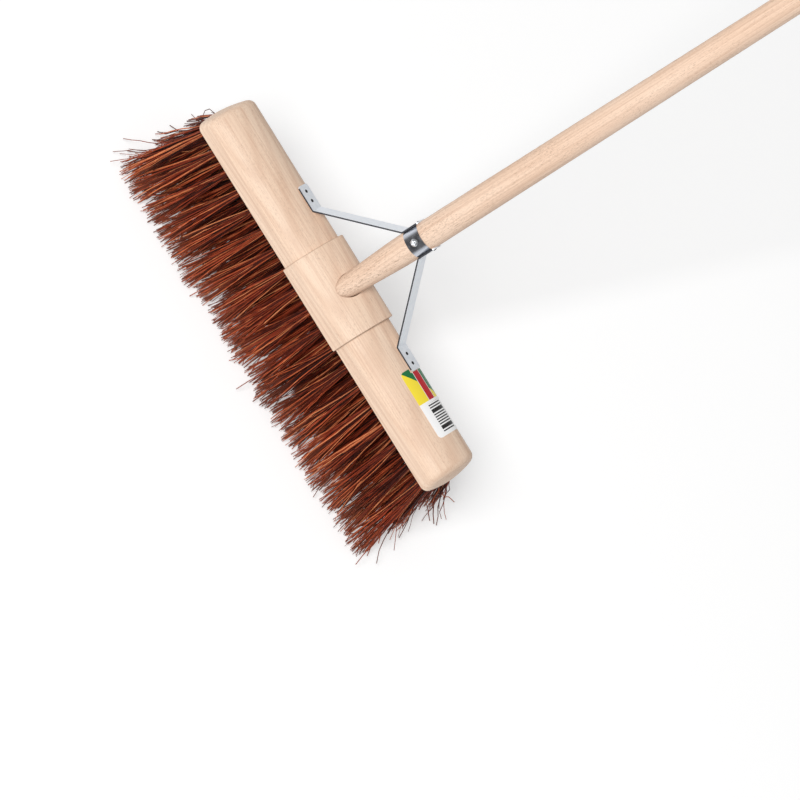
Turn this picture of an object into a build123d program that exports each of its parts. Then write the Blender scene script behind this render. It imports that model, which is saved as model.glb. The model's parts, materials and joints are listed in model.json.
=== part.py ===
from build123d import *
import os
from math import atan, cos, degrees, radians, sin, sqrt

# Push broom: a beech head with five rows of natural-fibre tufts, a long round
# handle wedged into a sloping socket, and a steel brace between the two.
#
# Millimetres. The origin is the middle of the trimmed bristle face, +X runs
# along the head, +Y is the back, the way the handle leans, and +Z is up.

# Bristles
BRISTLE_DROP = 115.0  # from the block's underside to the trimmed tips
TUFTS_IN_LONG_ROW = 19  # rows 1, 3 and 5; rows 2 and 4 hold one tuft fewer
TUFT_PITCH = 21.5
ROW_PITCH = 11.5
ROW_NAMES = ["front", "front_middle", "middle", "back_middle", "back"]
ROW_TIP_PITCH = 24.0  # distance between rows at the tips
END_SPREAD = 1.08  # how much longer a row is at its tips than at the block
HOLE_RADIUS = 3.5
HOLE_DEPTH = 10.0
NECK_RADIUS = 3.4
TRIM_ALLOWANCE = 8.0  # fibre beyond the tip plane, trimmed away
HOLE_START = -2.0  # each hole's cutter starts below the underside
TIP_RADIUS = 9.5

# Staples that anchor the tufts
STAPLE_WIRE = 1.0
STAPLE_HALF_WIDTH = 2.8
STAPLE_CROWN_DEPTH = 8.0
STAPLE_LEG_END_DEPTH = 14.0

# Wooden block
HEAD_LENGTH = 412.5
END_BALL_RADIUS = 118.0  # the ball whose surface gives each end its bow
END_BALL_DROP = 10.0  # from the block's underside down to the balls' centres
HEAD_EDGE_RADIUS = 8.0
WING_WIDTH = 58.0
WING_SIDE_HEIGHT = 16.4
WING_HEIGHT = 33.2
BOSS_LENGTH = 90.0
BOSS_WIDTH = 64.5
BOSS_SIDE_HEIGHT = 18.4
BOSS_HEIGHT = 38.8
BOSS_EDGE_RADIUS = 0.8
BLOCK_BOTTOM_RADIUS = 1.0

# Handle
HANDLE_TILT = 35.0  # degrees back from upright
HANDLE_ENTRY_Y = -2.0
HANDLE_ENTRY_HEIGHT = 39.0  # above the block's underside
SOCKET_DEPTH = 22.0
SOCKET_GAP = 0.75
SOCKET_SHIFT_X = 0.4  # the handle leans against the left side of its socket
HANDLE_TIP_RADIUS = 9.6
HANDLE_MOUTH_RADIUS = 11.1
HANDLE_TAPER_RADIUS = 13.4
HANDLE_TAPER_MIDDLE = 45.0
HANDLE_TAPER_SLOPE = 0.048  # at the mouth, in radius per length
HANDLE_MAX_RADIUS = 14.15
HANDLE_SHOULDER = 66.0  # from the mouth to where the handle is thickest
HANDLE_GRIP_RADIUS = 12.5
HANDLE_GRIP_START = 620.0
HANDLE_GRIP_END = 1466.0
HANDLE_END_DOME = 12.0

# Steel brace
STRIP_WIDTH = 16.0
STRIP_THICKNESS = 1.5
STRIP_BEND_RADIUS = 2.0
STRIP_CORNER_RADIUS = 3.0
FOOT_Y = 16.3  # where the feet touch the wings' domes
FOOT_CREASE_X = 75.0
FEET_SHIFT_X = -1.9  # both feet are nailed down this far off centre
FOOT_LENGTH = 27.0
FOOT_NAIL_OFFSETS = {"inner": 9.6, "outer": 20.0}  # from the crease
TAB_RISE = 71.6  # from the foot's plane to the upper crease, along the slope
TAB_LENGTH = 20.5
TAB_NAIL_RISE = 88.0
SADDLE_MIDDLE = 79.9  # along the handle from the mouth
SADDLE_WIDTH = 15.6
SADDLE_HALF_WIDTH = 12.3  # inside, squeezed into the handle's sides
SADDLE_FRONT = 14.2  # inside, from the handle's axis to the saddle's crown
SADDLE_THICKNESS = 1.2
SADDLE_LEG = 6.0
SADDLE_SEAT_DEPTH = 4.0  # the seat's cutter reaches this far out of the handle

# Fasteners
NAIL_HEAD_RADIUS = 1.8
NAIL_HEAD_HEIGHT = 0.7
NAIL_SHANK_RADIUS = 1.0
NAIL_LENGTH = 16.0
NAIL_POINT = 2.5
TAB_NAIL_HEAD_RADIUS = 2.0
TAB_NAIL_HEAD_HEIGHT = 0.8
TAB_NAIL_LENGTH = 12.0
SCREW_HEAD_RADIUS = 3.7
SCREW_HEAD_HEIGHT = 2.0
SCREW_SHANK_RADIUS = 1.6
SCREW_LENGTH = 14.0
SCREW_POINT = 3.0
RECESS_LENGTH = 4.2
RECESS_WIDTH = 1.0
RECESS_DEPTH = 1.1

# Paper label
LABEL_LAP = 3.9  # how far the label starts short of the right foot's end
LABEL_NOTCH_GAP = 0.5  # between the foot and the notch in the label
LABEL_LENGTH = 71.3
LABEL_FRONT_Y = -4.0
LABEL_THICKNESS = 0.25
LABEL_LOWER_HEIGHT = 11.0  # its back edge, above the block's underside
LABEL_CORNER_RADIUS = 4.0

TOUCH_GAP = 0.03  # between curved faces that meet

# Worked out from the driving dimensions
BLOCK_Z = BRISTLE_DROP
WING_DOME = WING_HEIGHT - WING_SIDE_HEIGHT
FOOT_SHARE = FOOT_Y / (WING_WIDTH / 2)
FOOT_RISE = WING_DOME * sqrt(1 - FOOT_SHARE**2)
FOOT_Z = BLOCK_Z + WING_SIDE_HEIGHT + FOOT_RISE
FOOT_SLOPE = degrees(atan(WING_DOME * FOOT_SHARE / (WING_WIDTH / 2) / sqrt(1 - FOOT_SHARE**2)))
LEG_OUTER = SADDLE_HALF_WIDTH + SADDLE_THICKNESS

# The handle's own frame: z along its axis from the socket's mouth, y to the back.
HANDLE_PLANE = Plane(
    origin=(0, HANDLE_ENTRY_Y, BLOCK_Z + HANDLE_ENTRY_HEIGHT),
    x_dir=(1, 0, 0),
    z_dir=(0, sin(radians(HANDLE_TILT)), cos(radians(HANDLE_TILT))),
)

# The brace's frame: x along the head, y up the slope that both arms lie in.
BRACE_PLANE = Plane(
    origin=(0, FOOT_Y, FOOT_Z),
    x_dir=(1, 0, 0),
    z_dir=(0, -cos(radians(FOOT_SLOPE)), sin(radians(FOOT_SLOPE))),
)


def dome_section(width, side_height, height):
    """Cross-section of the block: a flat base, upright sides and an elliptical dome."""
    half = width / 2
    base = Pos(0, side_height / 2) * Rectangle(width, side_height)
    dome = Pos(0, side_height) * Ellipse(half, height - side_height)
    upper = Pos(0, height) * Rectangle(width, 2 * (height - side_height))
    return base + (dome & upper)


def lengthwise(section, length):
    """The section extruded along X, with its middle at X = 0, standing on the block's base."""
    plane = Plane(origin=(-length / 2, 0, BLOCK_Z), x_dir=(0, 1, 0), z_dir=(1, 0, 0))
    return extrude(plane * section, length)


def end_form():
    """A long round body with ball ends, which cuts the wings' ends to their bowed shape."""
    reach = HEAD_LENGTH / 2 - END_BALL_RADIUS
    balls = [Pos(side * reach, 0, 0) * Sphere(END_BALL_RADIUS) for side in (-1, 1)]
    body = Rot(0, 90, 0) * Cylinder(END_BALL_RADIUS, 2 * reach)
    return Pos(0, 0, BLOCK_Z - END_BALL_DROP) * (balls[0] + body + balls[1])


def tuft_places(row):
    """Root and tip centres of one row's tufts, on the underside and the bristle face."""
    step = row - (len(ROW_NAMES) - 1) // 2
    count = TUFTS_IN_LONG_ROW - row % 2
    for i in range(count):
        x = (i - (count - 1) / 2) * TUFT_PITCH
        root = Vector(x, step * ROW_PITCH, BLOCK_Z)
        tip = Vector(x * END_SPREAD, step * ROW_TIP_PITCH, 0)
        yield root, tip


def tuft_plane(root, tip):
    """A frame at a tuft's root whose z runs up into the block, in line with the tuft."""
    return Plane(origin=root, x_dir=(1, 0, 0), z_dir=root - tip)


def rod(plane, radius, start, end):
    """A round rod along a frame's z, from one height to another."""
    return extrude(plane.offset(start) * Circle(radius), end - start)


def staple(root, tip):
    """A U of flat wire: its crown lies across the tuft's fold and its legs go up into the wood."""
    leg_length = STAPLE_LEG_END_DEPTH - STAPLE_CROWN_DEPTH
    middle = STAPLE_CROWN_DEPTH + leg_length / 2
    blank = Pos(0, middle) * Rectangle(2 * STAPLE_HALF_WIDTH, leg_length)
    inside = Pos(0, middle + STAPLE_WIRE) * Rectangle(2 * (STAPLE_HALF_WIDTH - STAPLE_WIRE), leg_length)
    wire = extrude(Plane.XZ * (blank - inside), STAPLE_WIRE / 2, both=True)
    return tuft_plane(root, tip) * wire


def tuft(root, tip):
    """One tuft: a round neck held in its hole, spreading to a wide tip that is trimmed level."""
    length = (root - tip).length + TRIM_ALLOWANCE
    spread = (TIP_RADIUS - NECK_RADIUS) / (length - TRIM_ALLOWANCE)
    outline = Polyline(
        (0, HOLE_DEPTH - TOUCH_GAP),
        (NECK_RADIUS, HOLE_DEPTH - TOUCH_GAP),
        (NECK_RADIUS, 0),
        (NECK_RADIUS + spread * length, -length),
        (0, -length),
        close=True,
    )
    bundle = tuft_plane(root, tip) * revolve(Plane.XZ * make_face(outline), Axis.Z)
    return split(bundle, Plane.XY, keep=Keep.TOP) - staple(root, tip)


def tuft_holes():
    """Every drilled tuft hole with its staple's two leg tracks."""
    holes = []
    for row in range(len(ROW_NAMES)):
        for root, tip in tuft_places(row):
            plane = tuft_plane(root, tip)
            holes.append(rod(plane, HOLE_RADIUS, HOLE_START, HOLE_DEPTH))
            holes.append(staple(root, tip))
    return holes


def handle_blank():
    """The turned handle before its fastener holes, lying along z from the socket's mouth."""
    tip_end = -SOCKET_DEPTH + SOCKET_GAP
    tip = Line((HANDLE_TIP_RADIUS, tip_end), (HANDLE_MOUTH_RADIUS, 0))
    taper = Spline(
        (HANDLE_MOUTH_RADIUS, 0),
        (HANDLE_TAPER_RADIUS, HANDLE_TAPER_MIDDLE),
        (HANDLE_MAX_RADIUS, HANDLE_SHOULDER),
        tangents=[(HANDLE_TAPER_SLOPE, 1), (0, 1)],
    )
    shaft = Spline(
        (HANDLE_MAX_RADIUS, HANDLE_SHOULDER),
        (HANDLE_GRIP_RADIUS, HANDLE_GRIP_START),
        tangents=[(0, 1), (0, 1)],
    )
    rest = Polyline(
        (HANDLE_GRIP_RADIUS, HANDLE_GRIP_START),
        (HANDLE_GRIP_RADIUS, HANDLE_GRIP_END + HANDLE_END_DOME),
        (0, HANDLE_GRIP_END + HANDLE_END_DOME),
        (0, tip_end),
        (HANDLE_TIP_RADIUS, tip_end),
    )
    blank = revolve(Plane.XZ * make_face([tip, taper, shaft, rest]), Axis.Z)
    return fillet(blank.faces().sort_by(Axis.Z)[-1].edges(), HANDLE_END_DOME)


def socket():
    """The tapering hole in the block that the handle's tip sits in."""
    slope = (HANDLE_MOUTH_RADIUS - HANDLE_TIP_RADIUS) / SOCKET_DEPTH
    tip_radius = HANDLE_TIP_RADIUS + SOCKET_GAP
    outside = HANDLE_MAX_RADIUS
    cone = Cone(
        tip_radius,
        tip_radius + slope * (SOCKET_DEPTH + outside),
        SOCKET_DEPTH + outside,
        align=(Align.CENTER, Align.CENTER, Align.MIN),
    )
    return HANDLE_PLANE * (Pos(SOCKET_SHIFT_X, 0, -SOCKET_DEPTH) * cone)


def head_block():
    """The beech block: two domed wings and a raised middle that takes the handle."""
    wings = lengthwise(dome_section(WING_WIDTH, WING_SIDE_HEIGHT, WING_HEIGHT), HEAD_LENGTH)
    wings = wings & end_form()
    end_edges = [
        edge
        for edge in wings.edges()
        if abs(edge.center().X) > HEAD_LENGTH / 4 and edge.center().Z > BLOCK_Z + 1
    ]
    wings = fillet(end_edges, HEAD_EDGE_RADIUS)
    boss = lengthwise(dome_section(BOSS_WIDTH, BOSS_SIDE_HEIGHT, BOSS_HEIGHT), BOSS_LENGTH)
    step_edges = [
        edge
        for edge in boss.edges()
        if abs(edge.center().X) > BOSS_LENGTH / 2 - 1 and edge.center().Z > BLOCK_Z + 1
    ]
    blank = wings + fillet(step_edges, BOSS_EDGE_RADIUS)
    blank = fillet(blank.edges().group_by(Axis.Z)[0], BLOCK_BOTTOM_RADIUS)
    nails = [foot_nail(side, distance) for side in (-1, 1) for distance in FOOT_NAIL_OFFSETS.values()]
    return blank - socket() - nails - tuft_holes()


def handle():
    """The handle, with the seat that the brace is squeezed into and its fasteners' tracks."""
    seat = [saddle_band(SADDLE_SEAT_DEPTH), arm_strip(-1), arm_strip(1)]
    return HANDLE_PLANE * handle_blank() - seat - saddle_screw() - tab_nail(-1) - tab_nail(1)


def foot_crease(side):
    """Where a foot bends up into its arm, along X, on its own side of the middle."""
    return FOOT_CREASE_X + side * FEET_SHIFT_X


def arm_strip(side):
    """A bent strip: foot on the wing, slanting arm, and a tab along the handle's side."""
    inner = LEG_OUTER + TOUCH_GAP
    crease = foot_crease(side)
    path = FilletPolyline(
        (crease + FOOT_LENGTH, TOUCH_GAP),
        (crease, TOUCH_GAP),
        (inner, TAB_RISE),
        (inner, TAB_RISE + TAB_LENGTH),
        radius=STRIP_BEND_RADIUS,
    )
    section = make_face(offset(path, STRIP_THICKNESS, side=Side.RIGHT, kind=Kind.INTERSECTION))
    strip = extrude(section, STRIP_WIDTH / 2, both=True)
    foot_end = crease + FOOT_LENGTH
    tab_end = TAB_RISE + TAB_LENGTH
    corners = [
        edge
        for edge in strip.edges()
        if edge.length < STRIP_THICKNESS + TOUCH_GAP
        and (edge.center().X > foot_end - 1 or edge.center().Y > tab_end - 1)
    ]
    strip = BRACE_PLANE * fillet(corners, STRIP_CORNER_RADIUS)
    return mirror(strip, about=Plane.YZ) if side < 0 else strip


def brace_arm(side):
    """One arm of the brace, with its nail holes."""
    nails = [foot_nail(side, distance) for distance in FOOT_NAIL_OFFSETS.values()]
    return arm_strip(side) - nails - tab_nail(side)


def saddle_band(thickness):
    """An arched band over the handle's front, with a flat leg down each side."""
    half_width = SADDLE_HALF_WIDTH + thickness
    front = SADDLE_FRONT + thickness
    outer = Ellipse(half_width, front) & (Pos(0, -front / 2) * Rectangle(2 * half_width, front))
    legs = Pos(0, SADDLE_LEG / 2) * Rectangle(2 * half_width, SADDLE_LEG)
    inside = Ellipse(SADDLE_HALF_WIDTH, SADDLE_FRONT)
    inside += Pos(0, SADDLE_LEG) * Rectangle(2 * SADDLE_HALF_WIDTH, 2 * SADDLE_LEG)
    section = outer + legs - inside
    start = SADDLE_MIDDLE - SADDLE_WIDTH / 2
    return HANDLE_PLANE * (Pos(0, 0, start) * extrude(section, SADDLE_WIDTH))


def brace_saddle():
    """The saddle that the screw draws onto the handle's front."""
    return saddle_band(SADDLE_THICKNESS) - saddle_screw()


def pointed_shank(radius, length, point):
    """A round shank that runs down from z = 0 and ends in a point."""
    shank = Pos(0, 0, point - length) * Cylinder(
        radius, length - point, align=(Align.CENTER, Align.CENTER, Align.MIN)
    )
    tip = Pos(0, 0, -length) * Cone(
        radius * 0.1, radius, point, align=(Align.CENTER, Align.CENTER, Align.MIN)
    )
    return shank + tip


def domed_head(radius, height):
    """A low round head that stands on z = 0."""
    curve_radius = (radius**2 + height**2) / (2 * height)
    ball = Pos(0, 0, height - curve_radius) * Sphere(curve_radius)
    above = Cylinder(2 * radius, 2 * height, align=(Align.CENTER, Align.CENTER, Align.MIN))
    return ball & above


def saddle_screw():
    """The cross-recess screw through the front of the saddle into the handle."""
    shank = pointed_shank(SCREW_SHANK_RADIUS, SCREW_LENGTH, SCREW_POINT)
    head = domed_head(SCREW_HEAD_RADIUS, SCREW_HEAD_HEIGHT)
    slot = Pos(0, 0, SCREW_HEAD_HEIGHT - RECESS_DEPTH / 2) * Box(RECESS_LENGTH, RECESS_WIDTH, RECESS_DEPTH)
    screw = shank + head - slot - Rot(0, 0, 90) * slot
    front = SADDLE_FRONT + SADDLE_THICKNESS
    place = Plane(origin=(0, -front, SADDLE_MIDDLE), x_dir=(1, 0, 0), z_dir=(0, -1, 0))
    return HANDLE_PLANE * (place * screw)


def foot_nail(side, crease_distance):
    """One round-headed nail through a foot into the block."""
    nail = pointed_shank(NAIL_SHANK_RADIUS, NAIL_LENGTH, NAIL_POINT)
    nail += domed_head(NAIL_HEAD_RADIUS, NAIL_HEAD_HEIGHT)
    place = Plane(
        origin=(side * (foot_crease(side) + crease_distance), TOUCH_GAP + STRIP_THICKNESS, 0),
        z_dir=(0, 1, 0),
    )
    return BRACE_PLANE * (place * nail)


def tab_nail(side):
    """One nail through the end of a tab into the handle's side."""
    nail = pointed_shank(NAIL_SHANK_RADIUS, TAB_NAIL_LENGTH, NAIL_POINT)
    nail += domed_head(TAB_NAIL_HEAD_RADIUS, TAB_NAIL_HEAD_HEIGHT)
    reach = LEG_OUTER + TOUCH_GAP + STRIP_THICKNESS
    place = Plane(origin=(side * reach, TAB_NAIL_RISE, 0), z_dir=(side, 0, 0))
    return BRACE_PLANE * (place * nail)


def label():
    """The paper label, a thin skin over the back slope of the right wing, notched for the foot."""
    grown = dome_section(
        WING_WIDTH + 2 * LABEL_THICKNESS, WING_SIDE_HEIGHT, WING_HEIGHT + LABEL_THICKNESS
    )
    skin = grown - dome_section(WING_WIDTH, WING_SIDE_HEIGHT, WING_HEIGHT)
    depth = WING_WIDTH / 2 + 1 - LABEL_FRONT_Y
    height = WING_HEIGHT - LABEL_LOWER_HEIGHT
    foot_end = foot_crease(1) + FOOT_LENGTH
    middle_x = foot_end - LABEL_LAP + LABEL_LENGTH / 2
    outline = Pos(middle_x, LABEL_FRONT_Y + depth / 2) * Rectangle(LABEL_LENGTH, depth)
    outline = fillet(outline.vertices().group_by(Axis.Y)[0], LABEL_CORNER_RADIUS)
    notch_x = foot_end + LABEL_NOTCH_GAP - WING_WIDTH / 2
    notch_y = FOOT_Y - STRIP_WIDTH / 2 - LABEL_NOTCH_GAP + WING_WIDTH / 2
    outline -= Pos(notch_x, notch_y) * Rectangle(WING_WIDTH, WING_WIDTH)
    cutter = extrude(Plane.XY.offset(BLOCK_Z + LABEL_LOWER_HEIGHT) * outline, height + 1)
    return lengthwise(skin, HEAD_LENGTH) & cutter


def save(name, shape):
    """Write one sub-part to its own STEP file."""
    shape.label = name
    export_step(shape, f"parts/{name}.step")


os.makedirs("parts", exist_ok=True)
save("head_block", head_block())
save("handle", handle())
save("brace_saddle", brace_saddle())
save("saddle_screw", saddle_screw())
save("label", label())
for side_name, side in {"left": -1, "right": 1}.items():
    save(f"brace_arm_{side_name}", brace_arm(side))
    save(f"tab_nail_{side_name}", tab_nail(side))
    for place_name, crease_distance in FOOT_NAIL_OFFSETS.items():
        save(f"foot_nail_{side_name}_{place_name}", foot_nail(side, crease_distance))
for row, row_name in enumerate(ROW_NAMES):
    places = list(tuft_places(row))
    save(f"tufts_{row_name}", Compound(children=[tuft(root, tip) for root, tip in places]))
    save(f"staples_{row_name}", Compound(children=[staple(root, tip) for root, tip in places]))
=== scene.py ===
import json
from math import cos, pi, radians, sin

import bpy
import numpy as np
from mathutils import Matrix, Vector


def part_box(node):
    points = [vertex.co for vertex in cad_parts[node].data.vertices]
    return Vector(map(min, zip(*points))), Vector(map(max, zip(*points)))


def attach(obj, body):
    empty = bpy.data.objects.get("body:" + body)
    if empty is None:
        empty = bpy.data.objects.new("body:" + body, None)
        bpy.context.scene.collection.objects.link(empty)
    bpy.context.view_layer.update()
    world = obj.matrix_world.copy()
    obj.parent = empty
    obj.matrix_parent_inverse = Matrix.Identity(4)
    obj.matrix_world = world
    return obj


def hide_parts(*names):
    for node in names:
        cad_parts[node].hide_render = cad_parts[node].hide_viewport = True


# Looks for the push broom: metres, +X along the head, +Y to the back, +Z up,
# with the trimmed tips of the bristles on the floor at z = 0.

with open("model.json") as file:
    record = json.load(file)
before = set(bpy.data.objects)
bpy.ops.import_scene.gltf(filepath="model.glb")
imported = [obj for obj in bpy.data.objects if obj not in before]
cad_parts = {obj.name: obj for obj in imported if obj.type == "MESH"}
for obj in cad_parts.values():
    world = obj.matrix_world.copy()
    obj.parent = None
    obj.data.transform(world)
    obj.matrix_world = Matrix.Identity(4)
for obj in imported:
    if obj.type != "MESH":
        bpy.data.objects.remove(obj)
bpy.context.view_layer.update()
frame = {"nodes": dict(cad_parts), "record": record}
NODES = frame["nodes"]
GRIP = next(mount for mount in frame["record"]["mounts"] if mount["name"] == "handle_grip")
MM = 0.001
SEED = 41

# Taken from the part's design
HOLE_DEPTH = 10.0 * MM  # of a tuft hole
BOSS_EDGE_X = 45.0 * MM  # where the raised middle steps down to the wings
STRIP_CROSSWISE = (0.0, -0.929, 0.370)  # square to the brace's sheared edges
NECK_END = 2.0 * MM  # points this near the top of a row belong to its tufts' inner ends
NECK_GAP = 4.0 * MM  # a wider gap than this along the head parts two inner ends
FACE_HEIGHT = 1.0 * MM  # points lower than this belong to the trimmed faces
FACE_GAP = 1.5 * MM  # a wider gap than this along the head parts two trimmed faces

# Camera
CAMERA_AZIMUTH = radians(-1.20)
CAMERA_ELEVATION = radians(54.18)
CAMERA_ROLL = radians(57.24)
CAMERA_DISTANCE = 4.717
CAMERA_LENS = 225.0
CAMERA_RANGE = 50.0
AIM_HEIGHT = 0.115  # the block's underside
AIM_RIGHT = 0.1163  # how far the view's middle lies to the right of the head's middle
AIM_UP = 0.0016

# Studio
SURROUND = 0.28  # strength of the even white light from all round
FLOOR_HALF_SIZE = 12.0
FLOOR_TONE = 0.73
FLOOR_GLOW = 0.34
KEY_AZIMUTH = radians(-10)  # of the soft light; 0 stands in front of the head
KEY_ELEVATION = radians(54)
KEY_DISTANCE = 8.0
KEY_SIZE = 3.2
KEY_POWER = 560

# Wood
RING_SCALE = 66.0
RING_DRAW = 0.16  # the rings change this much as fast along the grain as across it
SIDE_TILT = 0.6  # the rings' second tilt, as a share of the first
GRAIN_STRENGTH = 0.46
FLECK_TONE = 0.6  # a fleck's brightness, as a share of the brown
STEP_SHADE_SPAN = (-0.5 * MM, 0.7 * MM)  # of the painted shade line along the raised middle's steps, outwards from each
STEP_SHADE_STRENGTH = 0.25

# Steel
SHEARED_COSINE = 0.9  # a face turned this close to the crosswise direction is a sheared edge
REFLECTION_FADE_IN = (7.0 * MM, 9.5 * MM)  # where the saddle's painted reflections on its two sides fade in, from its middle
REFLECTION_FADE_OUT = (11.6 * MM, 12.6 * MM)  # and where they fade out
REFLECTION_STRENGTH = 0.8

# Label
LABEL_SPLIT = 0.49  # share of the label's length that is coloured
LABEL_EDGING = (0.41, 0.70)  # shares of its depth that the red stripe's pale edging spans
LABEL_STRIPE = (0.43, 0.68)
LABEL_BARS = (0.27, 0.82)
LABEL_CELL = 1.25 * MM  # width of the thinnest bar
LABEL_WHITE_SHARE = 0.80  # of the cells between two bars, the share that stays white
LABEL_MARGINS = (2.5 * MM, 3.0 * MM)  # white left before and after the bars

# Fibres
ROW_NAMES = ["front", "front_middle", "middle", "back_middle", "back"]
FIBRES_PER_TUFT = 90
FIBRE_POINTS = 11
FIBRE_SIDES = 5
FIBRE_RADIUS = (0.34 * MM, 0.88 * MM)
FIBRE_FLATNESS = 0.72
FIBRE_TIP_TAPER = 0.22  # share of the radius lost on the way to the tip
WISPS_PER_TUFT = 12  # a tuft's fibres cling together in this many wisps
WISP_HOLD = 0.30  # how strongly they cling
ROOT_SPREAD = 2.7 * MM
TIP_SPREAD = 12.8 * MM
WISP_SPREAD = 1.6 * MM
TUFT_LEAN = 2.0 * MM
ROOT_DEPTH = 6.0 * MM  # how far inside its hole a fibre starts
TIP_RISE = 5.0 * MM  # how uneven the trimmed tips are
SHORT_TIP_RISE = 26.0 * MM
SHORT_SHARE = 0.10
SPREAD_POWER = 1.12  # how a fibre's spread grows on the way to its tip
BEND = 1.0 * MM
WAVES = (1.1, 2.3, 4.6)  # how many waves lie along one fibre
STRAY_SHARE = 0.025
END_STRAY_SHARE = 0.09  # added at the head's two ends
END_POWER = 6  # how closely those keep to the ends
STRAY_BEND = 11.0 * MM
STRAY_POWER = 2.6  # how late along the fibre a stray bends away
CURL = 5.0  # how much more a stray waves than other fibres
LOWEST_TIP = 0.4 * MM
RADIUS_BETA = (1.5, 2.4)  # the beta distribution that thickness is drawn from
TONE_BETA = (0.85, 1.15)  # and the one that tone is drawn from
TONE_SHIFT = 0.16  # how far the mottle moves a fibre's tone
MOTTLE_APART = 310.0  # keeps the mottle of two fibres different
MOTTLE_SCALE = 9.0  # along one fibre
ROOT_SHADE = 0.45  # strength of the dark at the root
TIP_WEAR = 0.38  # strength of the worn colour at the tip


class Shader:
    """One material's node tree, with short calls that add a node and return its output."""

    def __init__(self, name):
        self.material = bpy.data.materials.new(name)
        self.material.use_nodes = True
        self.tree = self.material.node_tree
        self.bsdf = self.tree.nodes["Principled BSDF"]

    def add(self, kind, inputs, output=0, **settings):
        """A node of that kind; inputs are numbers, colours or other nodes' outputs."""
        node = self.tree.nodes.new("ShaderNode" + kind)
        for key, value in settings.items():
            setattr(node, key, value)
        for key, value in inputs.items():
            self.join(value, node.inputs[key])
        return node.outputs[output]

    def join(self, value, socket):
        """Link an output to a socket, or set the socket's own value."""
        if isinstance(value, bpy.types.NodeSocket):
            self.tree.links.new(value, socket)
        else:
            socket.default_value = value

    def set(self, **inputs):
        """Set or link the surface's inputs, with _ for a space in a name."""
        for key, value in inputs.items():
            self.join(value, self.bsdf.inputs[key.replace("_", " ")])

    def place(self):
        """Object coordinates, in metres."""
        return self.add("TexCoord", {}, "Object")

    def mapping(self, vector, location=(0, 0, 0), rotation=(0, 0, 0), scale=(1, 1, 1)):
        inputs = {"Vector": vector, "Location": location, "Rotation": rotation, "Scale": scale}
        return self.add("Mapping", inputs)

    def noise(self, vector, scale=1.0, detail=2.0, roughness=0.5):
        inputs = {"Vector": vector, "Scale": scale, "Detail": detail, "Roughness": roughness}
        return self.add("TexNoise", inputs)

    def math(self, operation, first, second=0.0, clamp=False):
        return self.add("Math", {0: first, 1: second}, operation=operation, use_clamp=clamp)

    def between(self, value, low, high, out_low=0.0, out_high=1.0):
        """The value moved from one range to another, and held inside it."""
        inputs = {"Value": value, "From Min": low, "From Max": high, "To Min": out_low, "To Max": out_high}
        return self.add("MapRange", inputs)

    def inside(self, value, low, high):
        """1 where the value lies between low and high."""
        above = self.math("GREATER_THAN", value, low)
        below = self.math("LESS_THAN", value, high)
        return self.math("MULTIPLY", above, below)

    def mix(self, share, first, second, blend="MIX"):
        """Two colours mixed."""
        inputs = {0: share, 6: first, 7: second}
        return self.add("Mix", inputs, 2, data_type="RGBA", blend_type=blend)

    def ramp(self, value, stops):
        """A colour ramp; stops are (position, colour) pairs."""
        colour = self.add("ValToRGB", {0: value})
        elements = colour.node.color_ramp.elements
        elements[0].position, elements[0].color = stops[0]
        elements[1].position, elements[1].color = stops[-1]
        for position, stop_colour in stops[1:-1]:
            elements.new(position).color = stop_colour
        return colour

    def bump(self, height, distance, strength=1.0):
        inputs = {"Height": height, "Distance": distance, "Strength": strength}
        self.set(Normal=self.add("Bump", inputs))


def rgb(red, green, blue):
    """A colour, linear, with full alpha."""
    return (red, green, blue, 1.0)


# Materials ---------------------------------------------------------------


def wood(name, grain, pith, tilt, ring_strength, pale, rose, brown, flecks):
    """Sanded beech: faint growth rings, fine straight grain along them and short dark flecks.

    grain is the direction of the grain. pith is a point that the rings run round, and tilt
    how many degrees they lean away from the grain, which draws them out into long arches.
    flecks says how strong the flecks are: from where to where along the grain, and the two
    strengths there. Each noise's scale is given along the grain and then across it.
    """
    shader = Shader(name)
    turn = Vector(grain).rotation_difference(Vector((1, 0, 0))).to_euler()
    along = shader.mapping(shader.place(), rotation=turn)

    leaned = shader.mapping(along, rotation=(0, radians(tilt), radians(SIDE_TILT * tilt)))
    rings_at = shader.mapping(leaned, location=tuple(-x for x in pith), scale=(RING_DRAW, 1, 1))
    wave = {"Vector": rings_at, "Scale": RING_SCALE, "Distortion": 6.0, "Detail": 2.0, "Detail Scale": 0.35}
    rings = shader.add("TexWave", wave, 1, wave_type="RINGS", rings_direction="X")
    rings = shader.between(rings, 0.45, 1.0, 0.0, ring_strength)

    drift = shader.noise(shader.mapping(along, scale=(6, 40, 40)), detail=3)
    grain_lines = shader.noise(shader.mapping(along, scale=(7, 640, 640)), detail=4, roughness=0.7)
    pores = shader.noise(shader.mapping(along, scale=(360, 2000, 2000)), detail=1)
    patches = shader.noise(shader.mapping(along, scale=(18, 90, 90)))

    tone = shader.mix(shader.between(drift, 0.35, 0.68), pale, rose)
    tone = shader.mix(rings, tone, brown)
    tone = shader.mix(shader.between(grain_lines, 0.44, 0.66, 0.0, GRAIN_STRENGTH), tone, brown)
    fleck = shader.between(pores, 0.56, 0.66)
    fleck = shader.math("MULTIPLY", fleck, shader.between(patches, 0.40, 0.62, 0.4, 1.0))
    distance = shader.add("SeparateXYZ", {0: along}, 0)
    fleck = shader.math("MULTIPLY", fleck, shader.between(distance, *flecks))
    dark = rgb(*(FLECK_TONE * channel for channel in brown[:3]))
    tone = shader.mix(fleck, tone, dark)

    shader.set(Base_Color=tone, Specular_IOR_Level=0.35)
    shader.set(Roughness=shader.between(grain_lines, 0.3, 0.7, 0.50, 0.66))
    height = shader.math("SUBTRACT", grain_lines, shader.math("MULTIPLY", fleck, 0.8))
    shader.bump(height, 0.09 * MM, 0.6)
    return shader


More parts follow.
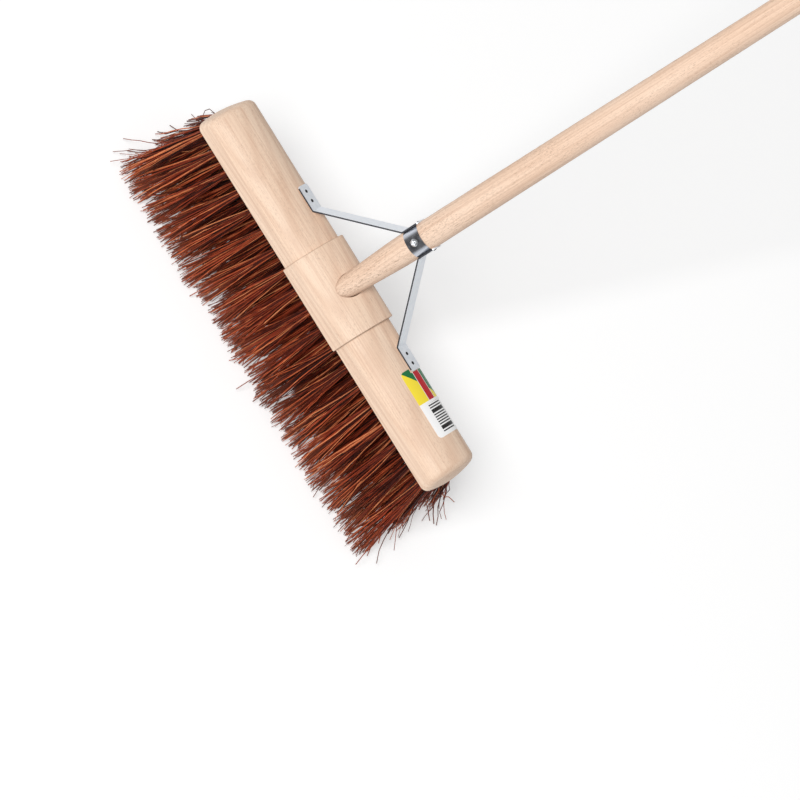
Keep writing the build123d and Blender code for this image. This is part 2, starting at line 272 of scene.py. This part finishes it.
def block_wood():
    """The head's wood, with a thin line of painted shade along the raised middle's steps."""
    shader = wood(
        "beech_block", (1, 0, 0), pith=(0.0, 0.020, 0.075), tilt=3.0, ring_strength=0.26,
        pale=rgb(0.855, 0.665, 0.515), rose=rgb(0.810, 0.600, 0.450), brown=rgb(0.60, 0.37, 0.25),
        flecks=(-0.2, 0.2, 0.34, 0.26),
    )
    tone = shader.bsdf.inputs["Base Color"].links[0].from_socket
    x = shader.math("ABSOLUTE", shader.add("SeparateXYZ", {0: shader.place()}, 0))
    before, after = STEP_SHADE_SPAN
    # Painted shade: a thin dark line along where the raised middle steps down to the wings.
    grime_and_shade = shader.inside(x, BOSS_EDGE_X + before, BOSS_EDGE_X + after)
    grime_and_shade = shader.math("MULTIPLY", grime_and_shade, STEP_SHADE_STRENGTH)
    shader.set(Base_Color=shader.mix(grime_and_shade, tone, rgb(0.22, 0.13, 0.08)))
    return shader.material


def handle_wood():
    """The handle's wood, with the densest flecks on its tapered root."""
    return wood(
        "beech_handle", GRIP["axis"], pith=(0.0, 0.035, 0.045), tilt=1.2, ring_strength=0.12,
        pale=rgb(0.830, 0.630, 0.490), rose=rgb(0.780, 0.560, 0.415), brown=rgb(0.52, 0.31, 0.20),
        flecks=(0.18, 0.26, 0.80, 0.48),
    ).material


def strip_steel():
    """Bright galvanised strip with darker sheared edges."""
    shader = Shader("brace_steel")
    spot = shader.place()
    rolled = shader.noise(shader.mapping(spot, scale=(260, 260, 260)), detail=3)
    spangle = shader.noise(spot, 900, detail=2)
    plate = shader.ramp(rolled, [(0.30, rgb(0.85, 0.89, 0.95)), (0.70, rgb(0.93, 0.96, 1.00))])
    normal = shader.add("NewGeometry", {}, "True Normal")
    across = shader.add("VectorMath", {0: normal, 1: STRIP_CROSSWISE}, "Value", operation="DOT_PRODUCT")
    edge = shader.math("GREATER_THAN", shader.math("ABSOLUTE", across), SHEARED_COSINE)
    shader.set(Base_Color=shader.mix(edge, plate, rgb(0.045, 0.045, 0.055)), Metallic=0.30)
    shader.set(Roughness=shader.between(rolled, 0.3, 0.7, 0.40, 0.54))
    shader.bump(spangle, 0.03 * MM, 0.4)
    return shader.material


def saddle_steel():
    """Polished band: its dark tone and the lighter bands towards its two sides are painted reflections."""
    shader = Shader("saddle_steel")
    spot = shader.place()
    lines = shader.noise(shader.mapping(spot, scale=(60, 900, 900)), detail=3)
    smear = shader.noise(spot, 180, detail=3)
    # Dark tone painted in for the dark surroundings that the polished band reflects.
    tone = shader.ramp(smear, [(0.35, rgb(0.17, 0.17, 0.185)), (0.70, rgb(0.27, 0.275, 0.295))])
    x = shader.math("ABSOLUTE", shader.add("SeparateXYZ", {0: spot}, 0))
    # Painted reflections: lighter bands near the band's two sides.
    inner_fade = shader.between(x, *REFLECTION_FADE_IN)
    outer_fade = shader.between(x, *REFLECTION_FADE_OUT, REFLECTION_STRENGTH, 0.0)
    tone = shader.mix(shader.math("MULTIPLY", inner_fade, outer_fade), tone, rgb(0.68, 0.72, 0.80))
    shader.set(Base_Color=tone, Metallic=1.0)
    shader.set(Roughness=shader.between(smear, 0.3, 0.7, 0.20, 0.34))
    shader.bump(lines, 0.02 * MM, 0.4)
    return shader.material


def small_steel(name, dull, bright, roughness):
    """Screws, nails and wire: plain steel, a little dirty."""
    shader = Shader(name)
    grime_and_shade = shader.noise(shader.place(), 700, detail=4)
    shader.set(Base_Color=shader.ramp(grime_and_shade, [(0.35, dull), (0.65, bright)]), Metallic=1.0)
    shader.set(Roughness=shader.between(grime_and_shade, 0.3, 0.7, roughness - 0.06, roughness + 0.08))
    shader.bump(grime_and_shade, 0.03 * MM, 0.3)
    return shader.material


def fibre_material():
    """Stiff plant fibre: each has its own tone, darker at the root and paler at the tip, with streaks."""
    shader = Shader("bristle_fibre")
    own = shader.add("Attribute", {}, "Fac", attribute_name="tone")
    along = shader.add("Attribute", {}, "Fac", attribute_name="along")
    stops = [
        (0.00, rgb(0.010, 0.002, 0.002)),
        (0.25, rgb(0.095, 0.012, 0.006)),
        (0.50, rgb(0.330, 0.044, 0.016)),
        (0.75, rgb(0.640, 0.125, 0.042)),
        (1.00, rgb(0.940, 0.340, 0.140)),
    ]
    own_place = shader.math("MULTIPLY", own, MOTTLE_APART)
    along_place = shader.math("MULTIPLY", along, MOTTLE_SCALE)
    mottle = shader.noise(shader.add("CombineXYZ", {0: own_place, 1: along_place}), 1.0, detail=3)
    shift = shader.between(mottle, 0.25, 0.75, -TONE_SHIFT, TONE_SHIFT)
    tone = shader.ramp(shader.math("ADD", own, shift, clamp=True), stops)
    fine = shader.noise(shader.mapping(shader.place(), scale=(2600, 2600, 120)), detail=2)
    tone = shader.mix(shader.between(fine, 0.40, 0.70, 0.0, 0.5), tone, rgb(0.06, 0.016, 0.010))
    root_shade = shader.between(along, 0.05, 0.60, ROOT_SHADE, 0.0)
    tone = shader.mix(root_shade, tone, rgb(0.010, 0.003, 0.002))
    tip_wear = shader.between(along, 0.60, 1.0, 0.0, TIP_WEAR)
    tone = shader.mix(tip_wear, tone, rgb(0.460, 0.130, 0.065))
    shader.set(Base_Color=tone, Specular_IOR_Level=0.10)
    shader.set(Roughness=shader.between(mottle, 0.3, 0.7, 0.38, 0.56))
    shader.bump(fine, 0.12 * MM, 0.6)
    return shader.material


def label_fields(shader, length_share, depth_share):
    """The coloured half: a green and a yellow field under a red stripe with pale edging."""
    green_side = shader.math("GREATER_THAN", depth_share, length_share)
    green = rgb(0.005, 0.165, 0.05)
    yellow = rgb(0.95, 0.76, 0.045)
    fields = shader.mix(green_side, yellow, green)
    edging = shader.inside(depth_share, *LABEL_EDGING)
    fields = shader.mix(edging, fields, rgb(0.85, 0.83, 0.80))
    stripe = shader.inside(depth_share, *LABEL_STRIPE)
    return shader.mix(stripe, fields, rgb(0.52, 0.012, 0.022))


def label_bars(shader, x, depth_share, start, end):
    """The white half: bars that encode nothing, in every other cell and by chance between."""
    cell = shader.math("FLOOR", shader.math("DIVIDE", x, LABEL_CELL))
    every_other = shader.math("LESS_THAN", shader.math("MODULO", cell, 2.0), 0.5)
    toss = shader.add("TexWhiteNoise", {"W": cell}, 0, noise_dimensions="1D")
    by_chance = shader.math("GREATER_THAN", toss, LABEL_WHITE_SHARE)
    bar = shader.math("MAXIMUM", every_other, by_chance)
    bar = shader.math("MULTIPLY", bar, shader.inside(depth_share, *LABEL_BARS))
    bar = shader.math("MULTIPLY", bar, shader.inside(x, start, end))
    return shader.mix(bar, rgb(0.96, 0.96, 0.96), rgb(0.012, 0.012, 0.012))


def label_material():
    """Printed paper: coloured fields on one half, generic bars on the other."""
    shader = Shader("label_paper")
    low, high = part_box("label")
    spot = shader.place()
    x = shader.add("SeparateXYZ", {0: spot}, 0)
    y = shader.add("SeparateXYZ", {0: spot}, 1)
    split = low.x + LABEL_SPLIT * (high.x - low.x)
    depth_share = shader.between(y, low.y, high.y)
    coloured_half = label_fields(shader, shader.between(x, low.x, split), depth_share)
    before, after = LABEL_MARGINS
    white_half = label_bars(shader, x, depth_share, split + before, high.x - after)
    coloured = shader.math("LESS_THAN", x, split)
    tone = shader.mix(coloured, white_half, coloured_half)
    paper = shader.noise(spot, 1500, detail=3)
    tone = shader.mix(shader.between(paper, 0.4, 0.8, 0.0, 0.06), tone, rgb(0.55, 0.53, 0.50))
    shader.set(Base_Color=tone, Specular_IOR_Level=0.45)
    shader.set(Roughness=shader.between(paper, 0.3, 0.7, 0.30, 0.42))
    shader.bump(paper, 0.04 * MM, 0.4)
    return shader.material


def give(material, *names):
    """Give CAD nodes a material."""
    for name in names:
        slots = NODES[name].data.materials
        slots.clear()
        slots.append(material)


# Fibres ------------------------------------------------------------------


def clusters(points, gap):
    """Groups of points that a gap along X keeps apart, each as the middle of its box."""
    points = points[np.argsort(points[:, 0])]
    cuts = np.nonzero(np.diff(points[:, 0]) > gap)[0] + 1
    return [(part.min(0) + part.max(0)) / 2 for part in np.split(points, cuts)]


def tuft_axes(node):
    """The middles of a row's tufts, at the inner ends of their necks and at the trimmed face."""
    mesh = NODES[node].data
    points = np.array([v.co for v in mesh.vertices])
    top = points[:, 2].max()
    necks = clusters(points[points[:, 2] > top - NECK_END], NECK_GAP)
    faces = clusters(points[points[:, 2] < FACE_HEIGHT], FACE_GAP)
    return list(zip(necks, faces))


def crosswise(direction):
    """Two directions square to the given ones."""
    side = np.cross(direction, (0.0, 1.0, 0.0))
    side /= np.linalg.norm(side, axis=-1, keepdims=True)
    return side, np.cross(direction, side)


def disc(rng, count, radius):
    """Places spread evenly over a disc."""
    turn = rng.uniform(0, 2 * pi, count)
    reach = radius * np.sqrt(rng.uniform(0, 1, count))
    return np.column_stack([reach * np.cos(turn), reach * np.sin(turn)])


def gathered_tips(rng, roots):
    """Where the tips lie across the tuft: spread out from the roots and drawn to a few wisps."""
    lean = rng.normal(0, TUFT_LEAN, 2)
    wisps = disc(rng, WISPS_PER_TUFT, TIP_SPREAD) + lean
    reach = (roots * TIP_SPREAD / ROOT_SPREAD)[:, None, :] + lean
    nearest = np.argmin(np.linalg.norm(reach - wisps[None], axis=2), axis=1)
    tips = WISP_HOLD * wisps[nearest] + (1 - WISP_HOLD) * reach[:, 0]
    tips += rng.normal(0, WISP_SPREAD, tips.shape)
    return tips


def stray_pull(rng, end_share):
    """Which fibres are strays, and how far each tip is pulled away."""
    stray = rng.random(FIBRES_PER_TUFT) < STRAY_SHARE + END_STRAY_SHARE * end_share**END_POWER
    pull = disc(rng, FIBRES_PER_TUFT, STRAY_BEND) * stray[:, None]
    pull[:, 0] += STRAY_BEND * end_share * stray
    return stray, pull


def tip_heights(rng):
    """How high above the floor each fibre ends."""
    rise = rng.uniform(0, TIP_RISE, FIBRES_PER_TUFT)
    short = rng.random(FIBRES_PER_TUFT) < SHORT_SHARE
    return np.where(short, rng.uniform(0, SHORT_TIP_RISE, FIBRES_PER_TUFT), rise) + LOWEST_TIP


def with_waves(rng, offset, stray, t):
    """The fibres' offsets with waves added, larger towards the tips and on strays."""
    wildness = (1 + CURL * stray * rng.random(FIBRES_PER_TUFT))[:, None, None]
    for wave in WAVES:
        phase = rng.uniform(0, 2 * pi, (FIBRES_PER_TUFT, 1, 2))
        swing = wildness * rng.normal(0, BEND / wave, (FIBRES_PER_TUFT, 1, 2))
        offset = offset + swing * t * np.sin(2 * pi * wave * t + phase)
    return offset


def tuft_fibres(rng, neck, face, end_share):
    """Centre lines of one tuft's fibres, from inside the hole to the tips.

    end_share runs from -1 at the head's left end to 1 at its right end.
    """
    axis = (face - neck) / np.linalg.norm(face - neck)
    side, back = crosswise(axis)
    start = neck + axis * (HOLE_DEPTH - ROOT_DEPTH)
    roots = disc(rng, FIBRES_PER_TUFT, ROOT_SPREAD)
    tips = gathered_tips(rng, roots)
    stray, pull = stray_pull(rng, end_share)
    rise = tip_heights(rng)
    length = (start[2] - rise) / -axis[2]

    t = np.linspace(0, 1, FIBRE_POINTS)[None, :, None]
    spread = (tips - roots)[:, None] * t**SPREAD_POWER
    offset = roots[:, None] + spread + pull[:, None] * t**STRAY_POWER
    offset = with_waves(rng, offset, stray, t)
    lines = start + axis * length[:, None, None] * t
    lines = lines + offset[..., :1] * side + offset[..., 1:] * back
    lines[..., 2] = np.maximum(lines[..., 2], rise[:, None])
    return lines


def sweep(lines, radii, twist):
    """Ring points round each centre line, flattened across it."""
    tangent = np.gradient(lines, axis=1)
    tangent /= np.linalg.norm(tangent, axis=-1, keepdims=True)
    side, back = crosswise(tangent)
    along = np.linspace(0, 1, lines.shape[1])[None, :, None]
    radius = radii[:, None, None] * (1 - FIBRE_TIP_TAPER * along**2)
    turn = np.linspace(0, 2 * pi, FIBRE_SIDES, endpoint=False)[None, None, :]
    flat_at = turn - twist[:, None, None]
    across = radius * np.sqrt(np.cos(flat_at) ** 2 + (FIBRE_FLATNESS * np.sin(flat_at)) ** 2)
    ring = (across * np.cos(turn))[..., None] * side[:, :, None]
    ring = ring + (across * np.sin(turn))[..., None] * back[:, :, None]
    return lines[:, :, None] + ring


def fibre_mesh(name, lines, radii, twist, tones):
    """One mesh of closed fibres, with each point's tone and its place along the fibre."""
    points = sweep(lines, radii, twist)
    count, rings, sides = points.shape[:3]
    corner = np.arange(count * rings * sides).reshape(count, rings, sides)
    here, there = corner[:, :-1], corner[:, 1:]
    quads = np.stack([here, np.roll(here, -1, 2), np.roll(there, -1, 2), there], -1).reshape(-1, 4)
    ends = [ring for fibre in corner for ring in (fibre[0][::-1], fibre[-1])]
    faces = quads.tolist() + [ring.tolist() for ring in ends]
    mesh = bpy.data.meshes.new(name)
    mesh.from_pydata(points.reshape(-1, 3).tolist(), [], faces)
    mesh.polygons.foreach_set("use_smooth", [True] * len(faces))
    along = np.broadcast_to(np.linspace(0, 1, rings)[None, :, None], (count, rings, sides))
    tone = np.broadcast_to(tones[:, None, None], (count, rings, sides))
    for attribute_name, values in (("along", along), ("tone", tone)):
        attribute = mesh.attributes.new(attribute_name, "FLOAT", "POINT")
        attribute.data.foreach_set("value", values.astype(np.float32).ravel())
    mesh.validate()
    mesh.update()
    return mesh


def fibre_row(row_name, material, rng):
    """One row's fibres, in the place of its CAD tufts."""
    node = f"tufts_{row_name}"
    axes = tuft_axes(node)
    end_x = axes[-1][1][0]
    lines = np.concatenate([tuft_fibres(rng, neck, face, face[0] / end_x) for neck, face in axes])
    count = len(lines)
    finest, coarsest = FIBRE_RADIUS
    radii = finest + (coarsest - finest) * rng.beta(*RADIUS_BETA, count)
    twist = rng.uniform(0, pi, count)
    tones = rng.beta(*TONE_BETA, count)
    piece = bpy.data.objects.new(f"fibres_{row_name}", fibre_mesh(node, lines, radii, twist, tones))
    bpy.context.scene.collection.objects.link(piece)
    piece.data.materials.append(material)
    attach(piece, "root")
    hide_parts(node)


# Studio ------------------------------------------------------------------


def view_directions():
    """From the target to the camera, and the picture's right and up before it is rolled."""
    level = cos(CAMERA_ELEVATION)
    toward = Vector((-sin(CAMERA_AZIMUTH) * level, -cos(CAMERA_AZIMUTH) * level, sin(CAMERA_ELEVATION)))
    right = Vector((cos(CAMERA_AZIMUTH), -sin(CAMERA_AZIMUTH), 0))
    return toward, right, toward.cross(right)


def add_camera():
    """The camera, in front of the head, above it and rolled over."""
    toward, right, up = view_directions()
    rolled_right = cos(CAMERA_ROLL) * right + sin(CAMERA_ROLL) * up
    rolled_up = cos(CAMERA_ROLL) * up - sin(CAMERA_ROLL) * right
    target = Vector((0, 0, AIM_HEIGHT)) + AIM_RIGHT * right + AIM_UP * up
    camera = bpy.data.objects.new("camera", bpy.data.cameras.new("camera"))
    camera.data.lens = CAMERA_LENS
    camera.data.clip_end = CAMERA_RANGE
    turned = camera.matrix_world.copy()
    for column, direction in enumerate((rolled_right, rolled_up, toward, target + toward * CAMERA_DISTANCE)):
        for row in range(3):
            turned[row][column] = direction[row]
    camera.matrix_world = turned
    bpy.context.scene.collection.objects.link(camera)
    bpy.context.scene.camera = camera


def add_key_light():
    """A square soft light that faces the head."""
    light = bpy.data.lights.new("key_light", "AREA")
    light.shape = "SQUARE"
    light.size = KEY_SIZE
    light.energy = KEY_POWER
    lamp = bpy.data.objects.new("key_light", light)
    level = cos(KEY_ELEVATION)
    place = Vector((sin(KEY_AZIMUTH) * level, -cos(KEY_AZIMUTH) * level, sin(KEY_ELEVATION)))
    lamp.location = Vector((0, 0, AIM_HEIGHT)) + place * KEY_DISTANCE
    lamp.rotation_euler = place.to_track_quat("Z", "Y").to_euler()
    bpy.context.scene.collection.objects.link(lamp)


def add_floor():
    """A plain pale floor that gives off a little light, so that it comes out nearly white."""
    floor_mesh = bpy.data.meshes.new("floor")
    half = FLOOR_HALF_SIZE
    corners = [(-half, -half, 0), (half, -half, 0), (half, half, 0), (-half, half, 0)]
    floor_mesh.from_pydata(corners, [], [(0, 1, 2, 3)])
    floor = bpy.data.objects.new("floor", floor_mesh)
    bpy.context.scene.collection.objects.link(floor)
    shader = Shader("floor")
    tone = rgb(FLOOR_TONE, FLOOR_TONE, FLOOR_TONE)
    shader.set(Base_Color=tone, Roughness=0.9, Specular_IOR_Level=0.1)
    shader.set(Emission_Color=rgb(1.0, 1.0, 1.0), Emission_Strength=FLOOR_GLOW)
    floor_mesh.materials.append(shader.material)


def add_surround():
    """Even white light from all round."""
    world = bpy.data.worlds.new("surround")
    world.use_nodes = True
    background = world.node_tree.nodes["Background"]
    background.inputs["Color"].default_value = rgb(1.0, 1.0, 1.0)
    background.inputs["Strength"].default_value = SURROUND
    bpy.context.scene.world = world


give(block_wood(), "head_block")
give(handle_wood(), "handle")
give(strip_steel(), "brace_arm_left", "brace_arm_right")
give(saddle_steel(), "brace_saddle")
screw_steel = small_steel(
    "screw_steel", dull=rgb(0.58, 0.60, 0.63), bright=rgb(0.84, 0.86, 0.89), roughness=0.32
)
give(screw_steel, "saddle_screw")
# The nails' near-black tone is painted shade, standing in for the shadow in their recesses.
nail_steel = small_steel(
    "nail_steel", dull=rgb(0.035, 0.033, 0.035), bright=rgb(0.075, 0.07, 0.07), roughness=0.40
)
give(nail_steel, *(name for name in NODES if "nail" in name))
staple_wire = small_steel(
    "staple_wire", dull=rgb(0.40, 0.38, 0.34), bright=rgb(0.62, 0.60, 0.56), roughness=0.38
)
give(staple_wire, *(name for name in NODES if name.startswith("staples")))
give(label_material(), "label")

rng = np.random.default_rng(SEED)
fibre = fibre_material()
for row_name in ROW_NAMES:
    fibre_row(row_name, fibre, rng)

add_camera()
add_floor()
add_surround()
add_key_light()
bpy.context.scene.view_settings.view_transform = "Standard"
